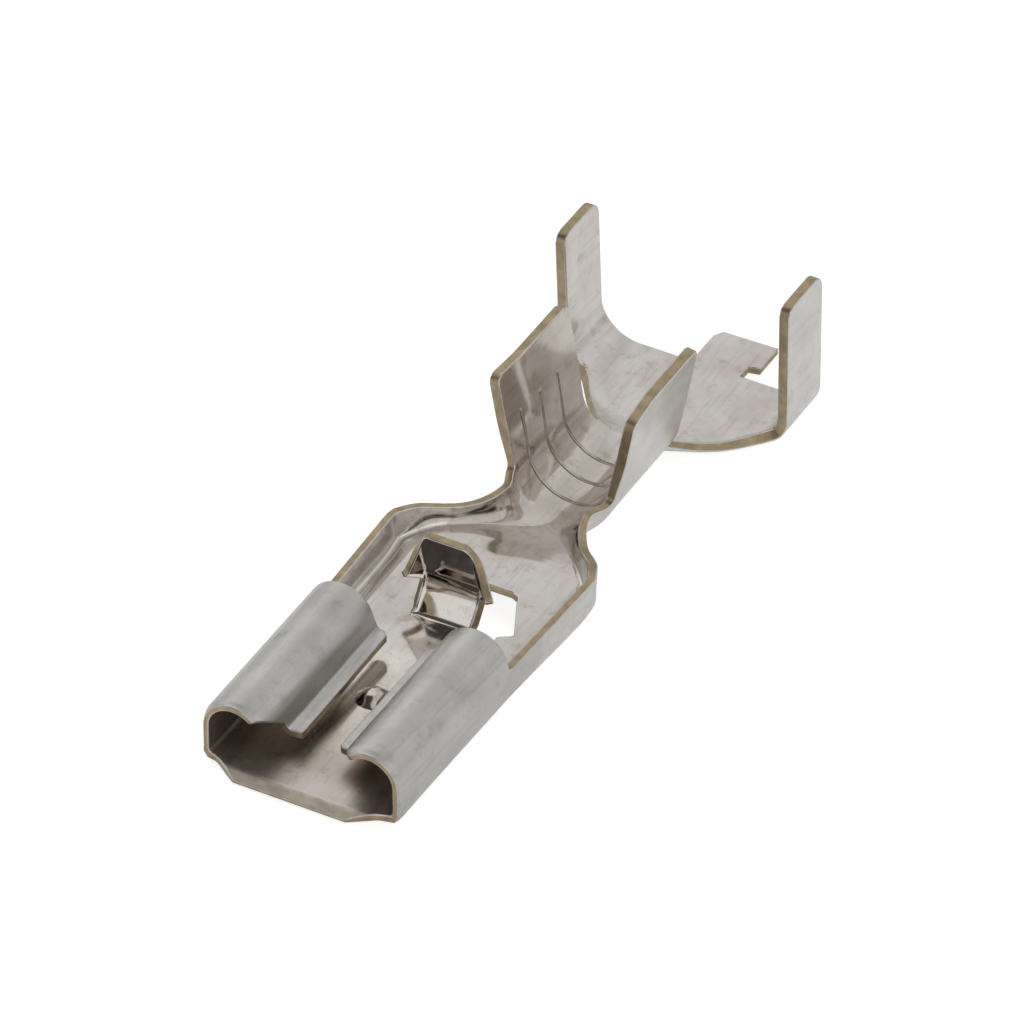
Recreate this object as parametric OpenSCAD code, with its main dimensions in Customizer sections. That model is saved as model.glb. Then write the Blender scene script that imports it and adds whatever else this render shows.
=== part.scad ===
// Female spade terminal: one stamped and folded piece of tin-plated brass sheet.
//
// Working frame of the folded strip, before it is laid at rest:
//   +X across, +Y from the mouth towards the wire, +Z out of the open side.
//   y = 0 is the mouth, z = 0 is the underside of the receptacle floor.

/* [Sheet] */
// Thickness of the sheet
sheet_t = 0.3; // [0.25:0.01:0.36]

/* [Receptacle] */
// Outside width over the two rolled sides
mouth_w = 7.4; // [7.2:0.1:8]
// Outside height of the rolled sides
roll_h = 2.5; // [2.4:0.05:2.8]
// Length of the rolled sides, from the mouth back
roll_l = 7.25; // [6.5:0.25:8.5]
// Outside radius of the roll over the top
roll_r = 1.2; // [1.1:0.05:1.25]
// Angle that the roll turns over the top
roll_turn = 160; // [150:1:168]
// Gap between the floor and the lips, where the blade slides in
blade_gap = 0.5; // [0.4:0.02:0.7]
// Gap between the two lips at the mouth
lip_gap_front = 1.36; // [1.1:0.02:1.6]
// Gap between the two lips at their rear end
lip_gap_rear = 1.1; // [0.8:0.02:1.6]
// How far behind the mouth the lips start
lip_setback = 1.38; // [0.8:0.02:1.8]
// Radius of the middle of the sheet where the floor turns up into the sides
corner_r = 0.3; // [0.26:0.02:0.5]
// Angle by which the floor dips before each corner
dip_turn = 28; // [8:1:32]

/* [Lead-in lip of the floor] */
// How far the floor stands out in front of the mouth
chin_l = 0.77; // [0.4:0.01:1.2]
// Width of its front edge
chin_w = 4.18; // [3:0.02:4.6]
// Width at its root
chin_root_w = 6.34; // [5:0.02:6.5]
// Length of the bevel coined on its upper edge
bevel_l = 0.38; // [0.2:0.02:0.5]
// Depth of that bevel
bevel_d = 0.14; // [0.05:0.01:0.18]

/* [Detent] */
// Distance of the detent from the mouth
detent_y = 4.85; // [3.5:0.05:6]
// Radius of the detent where it meets the floor
detent_r = 0.55; // [0.45:0.05:0.8]
// Height of the detent above the floor
detent_h = 0.34; // [0.2:0.02:0.4]

/* [Shoulder] */
// Width over the side walls at the shoulder
shoulder_w = 7.8; // [7.4:0.1:8.4]
// Height of the side walls behind the rolls
wall_h = 1.12; // [0.9:0.02:1.3]
// Distance of the shoulder from the mouth
shoulder_y = 12.8; // [12.6:0.1:13.4]
// How far the floor sags between the rolls and the shoulder
sag = 0.14; // [0:0.02:0.2]

/* [Window and locking tang] */
// Distance of the front end of the window from the mouth
window_y = 9.25; // [9.1:0.05:9.4]
// Length of the window
window_l = 2.75; // [2.6:0.05:2.9]
// Reach of the window to the right of the middle, beside the neck of the tang
window_front = 1.92; // [1.8:0.02:2]
// Reach of the window to the right of the middle at its widest
window_wide = 2.36; // [2.2:0.02:2.5]
// Reach of the window to the right of the middle at its rear end
window_rear = 1.6; // [1.4:0.02:1.8]
// Sideways offset of the tang
tang_x = 0.06; // [0:0.02:0.1]
// Width of the tang at its neck
tang_neck_w = 2.2; // [2:0.05:2.4]
// Width of the tang over its ears, measured along the sheet
tang_ear_w = 3.8; // [3.4:0.05:4.1]
// Width of the tang at its top
tang_top_w = 1.55; // [1.3:0.05:2]
// Height of the tang's top above the underside of the floor
tang_h = 3.5; // [3:0.05:3.8]
// Angle of the tang's ramp above the floor
tang_ramp = 62; // [56:1:70]
// Angle of the tang's head above the floor, more than 90 when it leans forward
tang_head = 104; // [92:1:108]
// Angle by which the ears are turned forward
ear_turn = 48; // [30:1:60]

/* [Wire barrel] */
// Distance of the front edge of the wire wings from the mouth
wire_y = 17.6; // [17.4:0.1:18.4]
// Length of the wire wings
wire_l = 4.7; // [4.3:0.1:5.2]
// Radius of the middle of the sheet round the wire barrel's bottom
wire_r = 1.85; // [1.7:0.05:2]
// Height of the wire wings above the underside of the receptacle floor
wire_top = 3.92; // [3.4:0.02:4.6]
// Angle that the wire barrel's bottom turns through on each side
wire_turn = 80; // [74:1:86]
// How far the wire barrel's underside lies below the receptacle's
wire_drop = 1.35; // [1.1:0.05:1.6]
// Length of the chamfer on the corners of the wire wings
wire_chamfer = 0.28; // [0.1:0.02:0.5]
// Number of serration grooves
groove_n = 3; // [1:1:4]
// Distance of the first groove behind the wings' front edge
groove_first = 0.92; // [0.6:0.02:1]
// Distance between grooves
groove_pitch = 1.2; // [0.8:0.05:1.2]
// Width of a groove
groove_w = 0.14; // [0.08:0.01:0.2]
// Depth of a groove
groove_d = 0.08; // [0.04:0.01:0.1]

/* [Necks] */
// Radius of the middle of the sheet in the throat in front of the wire barrel
throat_r = 1.56; // [1.4:0.02:1.6]
// Height of the sides of the throat above the underside of the receptacle floor
throat_edge = 0.37; // [0.2:0.01:0.5]
// Height of those sides where the wire wings start
wire_edge = 0.28; // [0.1:0.01:0.4]
// Height of the low sides behind the wire barrel above its bottom
neck_h = 0.62; // [0.5:0.02:0.9]
// Height of the turned-up edges beside the neck, above its bottom
flare_h = 0.38; // [0.34:0.02:0.7]

/* [Insulation barrel] */
// Distance of the front edge of the insulation wings from the mouth
ins_y = 25.4; // [25.2:0.1:26.4]
// Length of the insulation wings
ins_l = 2.45; // [2:0.05:3.2]
// Outside width over the insulation wings
ins_w = 9; // [8.4:0.1:9.8]
// Radius of the middle of the sheet where the barrel's floor turns up
ins_r = 1.25; // [1:0.05:1.6]
// Height of the insulation wings above the underside of the receptacle floor
ins_top = 4.02; // [3.8:0.02:5]
// How far the insulation barrel's underside lies below the receptacle's
ins_drop = 1.8; // [1.6:0.05:2.1]
// Radius of the corners of the insulation wings
tip_r = 0.5; // [0.2:0.05:0.7]

/* [Cut-off tab] */
// Length of the tab left from the carrier strip
tab_l = 2; // [1.2:0.1:2.5]
// Width of the tab at its end
tab_w = 2.35; // [1.9:0.05:2.8]
// Sideways offset of the tab
tab_x = 0.52; // [0:0.02:0.6]
// Size of the notch beside the tab's root
tab_notch = 0.42; // [0.2:0.02:0.5]

/* [Hidden] */
$fn = 64;

half_t = sheet_t / 2;
lap = 0.04;               // overlap where two stretches of the strip join
span = 20;                // length of a cutting solid across the part
bend_step = 9;            // angle between points on a bend
side_parts = 14;          // points on each side of a formed section
dip_r = 0.8;              // bend that starts each dip
lip_bend_r = 0.35;        // bend between the roll and its lip
ear_bend_r = 0.5;
tang_root_r = 0.45;
tang_knee_r = 1.2;
ear_inset = 0.35;         // from the neck's side in to where the ears start to bend
tang_parts = 14;          // steps along the tang
tang_side_parts = 8;      // points on each side of it
lip_cut_z = 2.07;         // height at which the lips' slanting cut leaves the mouth
lip_chamfer = 0.25;
throat_l = 1.1;           // from the narrowest place to the wire wings
descent_gap = 0.7;        // from the shoulder to the start of the descent
descent_l = 2;            // length of the drop behind the wire barrel
seam = 0.02;              // half width of the flat left at the bottom of a round barrel
window_gap = 0.12;        // clearance between the tang's neck and the window
window_front_l = 0.2;     // reach of the window in front of the tang's root
window_corner = 0.4;
window_step = 0.4;        // from the tang's root to where the window widens
window_flank = 0.36;      // length of that widening
tang_ramp_l = 0.75;       // straight part of the ramp
tang_ear_z = 1.1;         // height at which the ears start
tang_wide_z = 1.55;       // height at which the tang is widest
ear_bend_z = 0.8;         // height at which the ears start to turn forward
groove_rise = 1.9;        // height of the grooves up the straight part of the wings
flare_y = 0.1;            // distance behind the wire wings where the neck widens

mouth_flat = mouth_w / 2 - half_t - corner_r * (1 + sin(dip_turn)) - dip_r * sin(dip_turn);
shoulder_flat = mouth_flat + (shoulder_w - mouth_w) / 2;
dip_depth = (corner_r + dip_r) * (1 - cos(dip_turn));
wire_h = wire_top + wire_drop - half_t;
ins_flat = ins_w / 2 - half_t - ins_r;
wire_end = wire_y + wire_l;
ins_end = ins_y + ins_l;
tab_end = ins_end + tab_l;
throat_y = wire_y - throat_l;
descent_y = shoulder_y + descent_gap;

// ---- bends: a place on the path is [across, up, heading] ----

function run(at, length) =
    [at[0] + length * cos(at[2]), at[1] + length * sin(at[2]), at[2]];

function bend(at, r, turn) =
    let (side = turn < 0 ? -1 : 1)
    [
        at[0] + side * r * (sin(at[2] + turn) - sin(at[2])),
        at[1] - side * r * (cos(at[2] + turn) - cos(at[2])),
        at[2] + turn
    ];

// Places along one bend, without its start
function along_bend(at, r, turn) =
    let (n = ceil(abs(turn) / bend_step))
    [for (i = [1 : n]) bend(at, r, turn * i / n)];

// Last entry of a list
function last(list) = list[len(list) - 1];

// The same path on the left, walked towards the middle
function mirrored(path) =
    [for (i = [len(path) - 1 : -1 : 0]) [-path[i][0], path[i][1], -path[i][2]]];

// Points at a distance above the middle of the sheet
function raised(path, up) =
    [for (p = path) [p[0] - up * sin(p[2]), p[1] + up * cos(p[2])]];

function reversed(list) = [for (i = [len(list) - 1 : -1 : 0]) list[i]];

// Outline of the sheet between two distances from its middle
function band(path, upper, lower) =
    concat(raised(path, upper), reversed(raised(path, lower)));

// ---- section of the receptacle ----

// Floor and side wall on the right, from the middle to the roll
function wall_path(flat) =
    let (
        a = [flat, half_t, 0],
        b = along_bend(a, dip_r, -dip_turn),
        c = along_bend(last(b), corner_r, 90 + dip_turn)
    )
    concat([[0, half_t, 0], a], b, c);

function roll_path() =
    let (
        wall = wall_path(mouth_flat),
        foot = last(wall),
        side = run(foot, roll_h - roll_r - foot[1]),
        top = along_bend(side, roll_r - half_t, roll_turn),
        lip_z = sheet_t + blade_gap + half_t,
        turn_back = 90 - roll_turn,
        drop = lip_bend_r * (1 - cos(turn_back)),
        slope = (last(top)[1] - drop - lip_z) / -sin(90 + roll_turn),
        inner = run(last(top), slope),
        valley = along_bend(inner, lip_bend_r, turn_back),
        lip = run(last(valley), last(valley)[0] - lip_gap_rear / 2)
    )
    concat(wall, [side], top, [inner], valley, [lip]);

// ---- sections of the formed strip ----

// A section: [flat half width, dip bend, dip angle, bend radius, turn, bottom, height]
function place_at(u, s) =
    let (
        l1 = s[0],
        l2 = l1 + s[1] * s[2] * PI / 180,
        l3 = l2 + s[3] * (s[2] + s[4]) * PI / 180,
        b = bend([s[0], 0, 0], s[1], -s[2]),
        c = bend(b, s[3], s[2] + s[4])
    )
    u <= l1 ? [u, 0, 0]
    : u <= l2 ? bend([s[0], 0, 0], s[1], -s[2] * (u - l1) / (l2 - l1))
    : u <= l3 ? bend(b, s[3], (s[2] + s[4]) * (u - l2) / (l3 - l2))
    : run(c, u - l3);

// Developed half width that brings the edge of the sheet to the wanted height
function half_width(s) =
    let (
        l2 = s[0] + s[1] * s[2] * PI / 180,
        b = bend([s[0], 0, 0], s[1], -s[2]),
        c = bend(b, s[3], s[2] + s[4]),
        l3 = l2 + s[3] * (s[2] + s[4]) * PI / 180
    )
    c[1] >= s[6]
        ? l2 + s[3] * (s[2] + acos(cos(s[2]) - (s[6] - b[1]) / s[3])) * PI / 180
        : l3 + (s[6] - c[1]) / sin(s[4]);

function side_path(s) =
    let (w = half_width(s))
    [for (i = [0 : side_parts])
        let (p = place_at(w * i / side_parts, s)) [p[0], p[1] + s[5] + half_t, p[2]]];

function whole_path(half) =
    concat(mirrored(half), [for (i = [1 : len(half) - 1]) half[i]]);

function smooth(t) = let (c = min(1, max(0, t))) c * c * (3 - 2 * c);

function mix(a, b, t) = a + (b - a) * t;

function share(y, from, to) = min(1, max(0, (y - from) / (to - from)));

// Height of the strip's underside: a slight sag, then the descent to the wire barrel
function descent(y) =
    -sag * smooth(share(y, roll_l, shoulder_y))
    - (wire_drop - sag) * smooth(share(y, descent_y, wire_y));

function throat_section(y) =
    let (
        k = smooth(share(y, shoulder_y - 0.2, throat_y)),
        m = smooth(share(y, throat_y, wire_y)),
        r = mix(mix(corner_r, throat_r, k), wire_r, m),
        dip = dip_turn * (1 - smooth(share(y, shoulder_y - 1, shoulder_y + 2))),
        // the flat floor widens with the shoulder and takes over where the dips fade
        flat = y < shoulder_y
            ? mix(mouth_flat, shoulder_flat, share(y, roll_l, shoulder_y))
            : mix(shoulder_flat, seam, k),
        lost = (corner_r + dip_r) * (sin(dip_turn) - sin(dip)) * (1 - k),
        edge = y < throat_y
            ? mix(wall_h, throat_edge, smooth(share(y, shoulder_y - 0.1, throat_y - 0.9)))
            : mix(throat_edge, wire_edge, m)
    )
    [flat + lost, dip_r, dip, r, mix(90, wire_turn, m), descent(y), edge - descent(y) - half_t];

function neck_section(y) =
    let (
        t = share(y, wire_end, ins_y),
        spread = pow(share(y, wire_end + flare_y, ins_y), 0.8)
    )
    [
        mix(seam, ins_flat, spread), dip_r, 0, mix(wire_r, ins_r, t), 90,
        -mix(wire_drop, ins_drop, smooth(share(y, wire_end, wire_end + descent_l))),
        mix(neck_h, flare_h, smooth(3 * t)) - half_t
    ];

// ---- rest: the strip tips until the wire barrel comes down beside the mouth ----

rest_places = [for (i = [0 : 40]) mix(shoulder_y, wire_y, i / 40)];
rest_tilt = max([for (y = rest_places) atan((-descent(y) - dip_depth) / y)]);
rest_lift = dip_depth * cos(rest_tilt);
front_end = -chin_l * cos(rest_tilt) - (sheet_t - bevel_d) * sin(rest_tilt);
rear_end = tab_end * cos(rest_tilt) + ins_drop * sin(rest_tilt);

module laid_at_rest() {
    translate([0, -(front_end + rear_end) / 2, rest_lift])
        rotate([rest_tilt, 0, 0])
            children();
}

// ---- solids ----

// A section drawn across and up, drawn out from one distance to another
module drawn_out(from, to, points) {
    translate([0, to, 0])
        rotate([90, 0, 0])
            linear_extrude(to - from)
                polygon(points);
}

// An outline drawn along and up, drawn out across the part
module across(width, points) {
    rotate([90, 0, 90])
        linear_extrude(width, center = true)
            polygon(points);
}

// A solid skin through a row of rings. Each ring runs along the upper side of the
// sheet and back along the lower side, with as many points on each.
module skin(rings) {
    n = len(rings[0]);
    end = (len(rings) - 1) * n;
    sides = [
        for (i = [0 : len(rings) - 2], j = [0 : n - 1], half = [0, 1])
            let (k = (j + 1) % n, a = i * n, b = a + n)
            half == 0 ? [a + j, b + j, b + k] : [a + j, b + k, a + k]
    ];
    caps = [
        for (j = [0 : n / 2 - 2], half = [0, 1])
            half == 0 ? [j, j + 1, n - 2 - j] : [j, n - 2 - j, n - 1 - j]
    ];
    polyhedron(
        points = [for (ring = rings) each ring],
        faces = concat(caps, sides, [for (f = caps) [end + f[2], end + f[1], end + f[0]]]),
        convexity = 8
    );
}

function strip_ring(y, section) =
    [for (p = band(whole_path(side_path(section)), half_t, -half_t)) [p[0], y, p[1]]];

module rolled_sides() {
    difference() {
        drawn_out(0, roll_l, band(whole_path(roll_path()), half_t, -half_t));
        lip_relief();
        lip_spread();
    }
}

// The lips are cut back at the mouth, along a slant and then square
module lip_relief() {
    across(2 * (mouth_w / 2 - roll_r), [
        [-1, roll_h + 1],
        [-1, sheet_t + blade_gap / 2],
        [lip_setback, sheet_t + blade_gap / 2],
        [lip_setback, sheet_t * 2 + blade_gap + 0.05],
        [0, lip_cut_z],
        [0, roll_h + 1]
    ]);
}

// The gap between the lips widens towards the mouth
module lip_spread() {
    translate([0, 0, sheet_t + blade_gap / 2])
        linear_extrude(blade_gap / 2 + sheet_t * 2)
            polygon([
                [-lip_gap_front / 2, -1],
                [-lip_gap_front / 2, lip_setback],
                [-lip_gap_rear / 2, roll_l - lip_chamfer],
                [-lip_gap_rear / 2, roll_l + 1],
                [lip_gap_rear / 2 + lip_chamfer, roll_l + 1],
                [lip_gap_rear / 2 + lip_chamfer, roll_l],
                [lip_gap_rear / 2, roll_l - lip_chamfer],
                [lip_gap_front / 2, lip_setback],
                [lip_gap_front / 2, -1]
            ]);
}

module chin() {
    difference() {
        intersection() {
            drawn_out(-chin_l, lap, band(whole_path(wall_path(mouth_flat)), half_t, -half_t));
            translate([0, 0, -1])
                linear_extrude(2)
                    polygon([
                        [-chin_w / 2, -chin_l],
                        [-chin_root_w / 2, 0],
                        [-chin_root_w / 2, lap],
                        [chin_root_w / 2, lap],
                        [chin_root_w / 2, 0],
                        [chin_w / 2, -chin_l]
                    ]);
        }
        across(span, [
            [-chin_l - 0.1, sheet_t + 0.1],
            [-chin_l - 0.1, sheet_t - bevel_d],
            [-chin_l, sheet_t - bevel_d],
            [-chin_l + bevel_l, sheet_t],
            [-chin_l + bevel_l, sheet_t + 0.1]
        ]);
    }
}

// A shallow dome pressed up from the floor
module detent() {
    ball_r = (detent_r * detent_r + detent_h * detent_h) / (2 * detent_h);
    translate([0, detent_y, sheet_t])
        intersection() {
            translate([0, 0, detent_h - ball_r])
                sphere(ball_r);
            translate([0, 0, -half_t])
                cylinder(h = detent_h + sheet_t, r = detent_r);
        }
}

module throat() {
    plain = shoulder_y - roll_l - 1;
    first = [for (i = [0 : 3]) roll_l - lap + (plain + lap) * i / 3];
    steps = 16;
    rest = [for (i = [0 : steps]) mix(shoulder_y - 0.4, wire_y, i / steps)];
    stations = concat(first, rest, [wire_y + lap]);
    skin([for (y = stations) strip_ring(y, throat_section(min(y, wire_y)))]);
}

// The window that the tang is lanced from: close to the tang's neck on the left,
// wider on the right
module window_cut() {
    neck = tang_neck_w / 2 + window_gap;
    ear = tang_ear_w / 2 + window_gap / 2;
    far_y = window_y + window_l;
    translate([0, 0, -1])
        linear_extrude(1.6)
            polygon([
                [-neck, window_y - window_front_l],
                [-neck, window_y + window_step + window_gap],
                [-ear, window_y + window_step + window_flank * 2],
                [-ear, window_y + window_step + window_flank * 3],
                [-window_rear, far_y - window_corner],
                [-window_rear + window_corner, far_y],
                [window_rear - window_corner, far_y],
                [window_rear - window_corner * 0.3, far_y - window_corner * 0.3],
                [window_rear, far_y - window_corner],
                [window_wide, window_y + window_step + window_flank],
                [window_front, window_y + window_step],
                [window_front, window_y - window_front_l],
                [neck, window_y - window_front_l],
                [neck - window_gap, window_y],
                [window_gap - neck, window_y]
            ]);
}

// Places along the middle of the tang: [distance from the mouth, up, heading]
function tang_place(u) =
    let (
        root = [window_y - lap, half_t, 0],
        l1 = tang_root_r * tang_ramp * PI / 180,
        ramp = bend(root, tang_root_r, tang_ramp),
        l2 = l1 + tang_ramp_l,
        knee = run(ramp, tang_ramp_l),
        turn = tang_head - tang_ramp,
        l3 = l2 + tang_knee_r * turn * PI / 180,
        head = bend(knee, tang_knee_r, turn)
    )
    u <= l1 ? bend(root, tang_root_r, tang_ramp * u / l1)
    : u <= l2 ? run(ramp, u - l1)
    : u <= l3 ? bend(knee, tang_knee_r, turn * (u - l2) / (l3 - l2))
    : run(head, u - l3);

// Half width of the tang at a height: neck, ears, then a taper to the top
function tang_half_w(z) =
    z < tang_ear_z ? tang_neck_w / 2
    : z < tang_wide_z ? mix(tang_neck_w, tang_ear_w, share(z, tang_ear_z, tang_wide_z)) / 2
    : mix(tang_ear_w, tang_top_w, share(z, tang_wide_z, tang_h)) / 2;

// Length along the tang at which it has risen to its full height
function tang_length() =
    let (trial = tang_h + tang_root_r, end = tang_place(trial))
    trial - (end[1] - tang_h) / sin(tang_head);

function tang_ring(u) =
    let (
        p = tang_place(u),
        w = tang_half_w(p[1]),
        turned = smooth(share(p[1], ear_bend_z, tang_wide_z)),
        flat = tang_neck_w / 2 - ear_inset,
        s = [flat, dip_r, 0, ear_bend_r, max(1, ear_turn * turned)],
        half = [for (i = [0 : tang_side_parts]) place_at(w * i / tang_side_parts, s)],
        ring = band(whole_path(half), half_t, -half_t)
    )
    [for (q = ring) [q[0], p[0] - q[1] * sin(p[2]), p[1] + q[1] * cos(p[2])]];

module tang() {
    length = tang_length();
    translate([tang_x, 0, descent(window_y)])
        skin([for (i = [0 : tang_parts]) tang_ring(length * i / tang_parts)]);
}

module wire_barrel() {
    bottom = [0, dip_r, 0, wire_r, wire_turn, -wire_drop, wire_h];
    arc = along_bend([0, half_t - wire_drop, 0], wire_r, wire_turn);
    foot = last(arc);
    tip = run(foot, (wire_h + half_t - wire_drop - foot[1]) / sin(wire_turn));
    half = concat([[0, half_t - wire_drop, 0]], arc, [tip]);
    c = wire_chamfer;
    difference() {
        drawn_out(wire_y, wire_end, band(whole_path(half), half_t, -half_t));
        for (end = [0, 1])
            translate([0, end == 0 ? wire_y : wire_end, wire_top])
                mirror([0, end, 0])
                    across(span, [[-1, 1], [-1, -1 - c], [1, 1 - c], [1, 1]]);
        for (i = [0 : groove_n - 1])
            let (y = wire_y + groove_first + i * groove_pitch)
            drawn_out(y - groove_w / 2, y + groove_w / 2,
                band(whole_path(concat([half[0]], arc, [run(foot, groove_rise)])),
                    sheet_t, half_t - groove_d));
    }
}

module neck() {
    steps = 8;
    rest = [for (i = [0 : steps]) mix(wire_end, ins_y, i / steps)];
    stations = concat([wire_end - lap], rest, [ins_y + lap]);
    skin([for (y = stations) strip_ring(y, neck_section(y))]);
}

module insulation_barrel() {
    start = [ins_flat, half_t - ins_drop, 0];
    arc = along_bend(start, ins_r, 90);
    foot = last(arc);
    tip = run(foot, ins_top - foot[1]);
    half = concat([[0, half_t - ins_drop, 0], start], arc, [tip]);
    intersection() {
        drawn_out(ins_y, ins_end, band(whole_path(half), half_t, -half_t));
        across(span, concat(
            [[ins_y - 1, -span / 2], [ins_y - 1, ins_top - tip_r]],
            [[ins_y, ins_top - tip_r * 0.6], [ins_y + tip_r * 0.6, ins_top]],
            [for (a = [90 : -15 : 0])
                [ins_end - tip_r + tip_r * cos(a), ins_top - tip_r + tip_r * sin(a)]],
            [[ins_end, -span / 2]]
        ));
    }
}

module tab() {
    left = tab_x - tab_w / 2;
    right = tab_x + tab_w / 2;
    translate([0, 0, -ins_drop])
        linear_extrude(sheet_t)
            polygon([
                [left, ins_end - lap],
                [left, tab_end - tab_notch],
                [left + tab_notch / 2, tab_end - 0.05],
                [right, tab_end],
                [right, ins_end + tab_notch * 1.6],
                [right - tab_notch, ins_end + tab_notch * 1.4],
                [right - tab_notch, ins_end - lap]
            ]);
}

module terminal() {
    color([0.8, 0.79, 0.77])
        laid_at_rest() {
            rolled_sides();
            chin();
            detent();
            difference() {
                throat();
                window_cut();
            }
            tang();
            wire_barrel();
            neck();
            insulation_barrel();
            tab();
        }
}

terminal();
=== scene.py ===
"""Looks of a female spade terminal, in bright tin over brass on a plain pale ground.

The flat blank's outline is cut into triangles, bent along the same path as in the part's source, and
given its thickness with rounded cut edges. Sizes are in millimetres until the mesh is made."""
import math
from collections import namedtuple

import bpy
import numpy as np
from mathutils import Matrix, Vector
from mathutils.geometry import delaunay_2d_cdt


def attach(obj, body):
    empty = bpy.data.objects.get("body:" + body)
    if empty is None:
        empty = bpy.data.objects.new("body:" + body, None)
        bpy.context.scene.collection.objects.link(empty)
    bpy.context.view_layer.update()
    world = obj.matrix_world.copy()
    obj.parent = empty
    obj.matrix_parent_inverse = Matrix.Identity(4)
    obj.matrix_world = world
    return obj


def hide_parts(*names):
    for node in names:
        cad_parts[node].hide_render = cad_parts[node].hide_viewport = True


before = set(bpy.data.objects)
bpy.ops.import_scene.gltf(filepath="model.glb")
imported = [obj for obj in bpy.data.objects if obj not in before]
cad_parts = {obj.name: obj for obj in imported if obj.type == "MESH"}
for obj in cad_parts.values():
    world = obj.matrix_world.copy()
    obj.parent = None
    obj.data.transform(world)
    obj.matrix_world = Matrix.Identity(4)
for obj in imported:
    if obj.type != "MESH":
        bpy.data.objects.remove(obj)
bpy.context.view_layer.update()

MM = 0.001

# ---- the strip, as in the part's source ----
SHEET = 0.3
HALF = SHEET / 2
MOUTH_W, ROLL_H, ROLL_L, ROLL_R = 7.4, 2.5, 7.25, 1.2
ROLL_TURN = math.radians(160)
BLADE_GAP = 0.5
LIP_GAP_FRONT, LIP_GAP_REAR, LIP_SETBACK, LIP_CUT_Z = 1.36, 1.1, 1.38, 2.07
LIP_BEND_R, LIP_NICK, LIP_CORNER = 0.35, 0.08, 0.2
CORNER_R, DIP_R = 0.3, 0.8
DIP_MOUTH, DIP_TURN, DIP_BACK = math.radians(24), math.radians(28), math.radians(40)
CHIN_L, CHIN_W, CHIN_ROOT_W = 0.77, 4.18, 6.34
BEVEL_L, BEVEL_D, BEVEL_HALF_W = 0.38, 0.14, 3.6
DETENT_Y, DETENT_R, DETENT_H = 4.85, 0.55, 0.34
SHOULDER_W, WALL_H, SHOULDER_Y, SAG = 7.8, 1.12, 12.8, 0.14
WINDOW_Y, WINDOW_L = 9.25, 2.75
WINDOW_FRONT, WINDOW_WIDE, WINDOW_REAR, WINDOW_LEFT = 1.92, 2.36, 1.6, 1.5
WINDOW_FRONT_L, WINDOW_CORNER = 0.2, 0.4
TANG_X, TANG_NECK_W, TANG_EAR_W, TANG_TOP_W, TANG_H = 0.06, 2.2, 3.8, 1.55, 3.5
TANG_EAR_Z, TANG_WIDE_Z, TANG_LEFT_NECK = 1.1, 1.55, 1.22
TANG_RAMP, TANG_HEAD, EAR_TURN = math.radians(54), math.radians(106), math.radians(48)
TANG_ROOT_R, TANG_RAMP_L, TANG_KNEE_R = 0.4, 0.72, 1.1
EAR_BEND_R, EAR_INSET = 0.35, 0.18
WIRE_Y, WIRE_L, WIRE_R, WIRE_TOP, WIRE_DROP = 17.6, 4.7, 1.85, 3.92, 1.35
WIRE_TURN = math.radians(80)
WIRE_CHAMFER, WIRE_FLAT = 0.28, 0.02
GROOVES = [18.52 + 1.2 * i for i in range(3)]
GROOVE_W, GROOVE_D, GROOVE_SOFT, GROOVE_REACH, GROOVE_FADE = 0.14, 0.08, 0.05, 4.45, 0.3
THROAT_EDGE, WIRE_EDGE, THROAT_BACK_R = 0.37, 0.28, 1.45
CREASE_R, CREASE_TURN, CREASE_END, CREASE_BACK_R = 0.36, 0.85, 0.4, 1.1
NECK_H, FLARE_H, FLARE_Y = 0.62, 0.38, 0.1
INS_Y, INS_L, INS_W, INS_R, INS_TOP, INS_DROP = 25.4, 2.45, 9.0, 1.25, 4.01, 1.8
INS_INSET, TIP_R = 0.086, 0.5
TAB_L, TAB_W, TAB_X, TAB_NOTCH = 2.0, 2.35, 0.52, 0.42

# ---- what the photo shows beyond the solid: a skewed rear barrel, a bell mouth, worn thickness ----
SKEW, LEAN, LEAN_PIVOT_Z = 0.3, 0.035, 3
BELL, BELL_L = 0.09, 1.8
WING_EXTRA = 0.05
COIN_D, COIN_L = 0.09, 0.34

WIRE_END, INS_END = WIRE_Y + WIRE_L, INS_Y + INS_L
TAB_END = INS_END + TAB_L
THROAT_Y, DESCENT_Y = WIRE_Y - 1.1, SHOULDER_Y + 0.7
MOUTH_FLAT = MOUTH_W / 2 - HALF - CORNER_R * (1 + math.sin(DIP_TURN)) - DIP_R * math.sin(DIP_TURN)
SHOULDER_FLAT = MOUTH_FLAT + (SHOULDER_W - MOUTH_W) / 2
DIP_DEPTH = (CORNER_R + DIP_R) * (1 - math.cos(DIP_TURN))

# ---- where each change of section starts and ends along the strip ----
DIP_GROWS, DIP_FADES = (0, 8), (SHOULDER_Y - 1, SHOULDER_Y + 2)
CORNER_OPENS, CREASE_OPENS = (SHOULDER_Y - 0.2, SHOULDER_Y + 1), (SHOULDER_Y - 0.3, SHOULDER_Y + 1)
FOLD_STARTS, FOLD_FADES = (SHOULDER_Y - 0.3, SHOULDER_Y + 1.5), (THROAT_Y - 2.2, WIRE_Y)
BACK_OPENS, WALL_FALLS = (THROAT_Y - 1.1, THROAT_Y + 0.1), (SHOULDER_Y - 0.1, THROAT_Y - 0.9)
NARROW_Y, NARROW_SOFT, THROAT_SOFT = SHOULDER_Y + 0.05, 0.02, 0.016
FLAT_CLOSES, NECK_DROPS = (THROAT_Y - 1.2, WIRE_Y), (WIRE_END, WIRE_END + 2)
NECK_SPREADS = (WIRE_END + FLARE_Y, INS_Y)
SPREAD_START, SPREAD_POWER, SPREAD_LOW, SPREAD_RANGE = 0.02, 0.8, 0.044, 0.972
EAR_TURNS = (0.1, 0.6)

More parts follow.
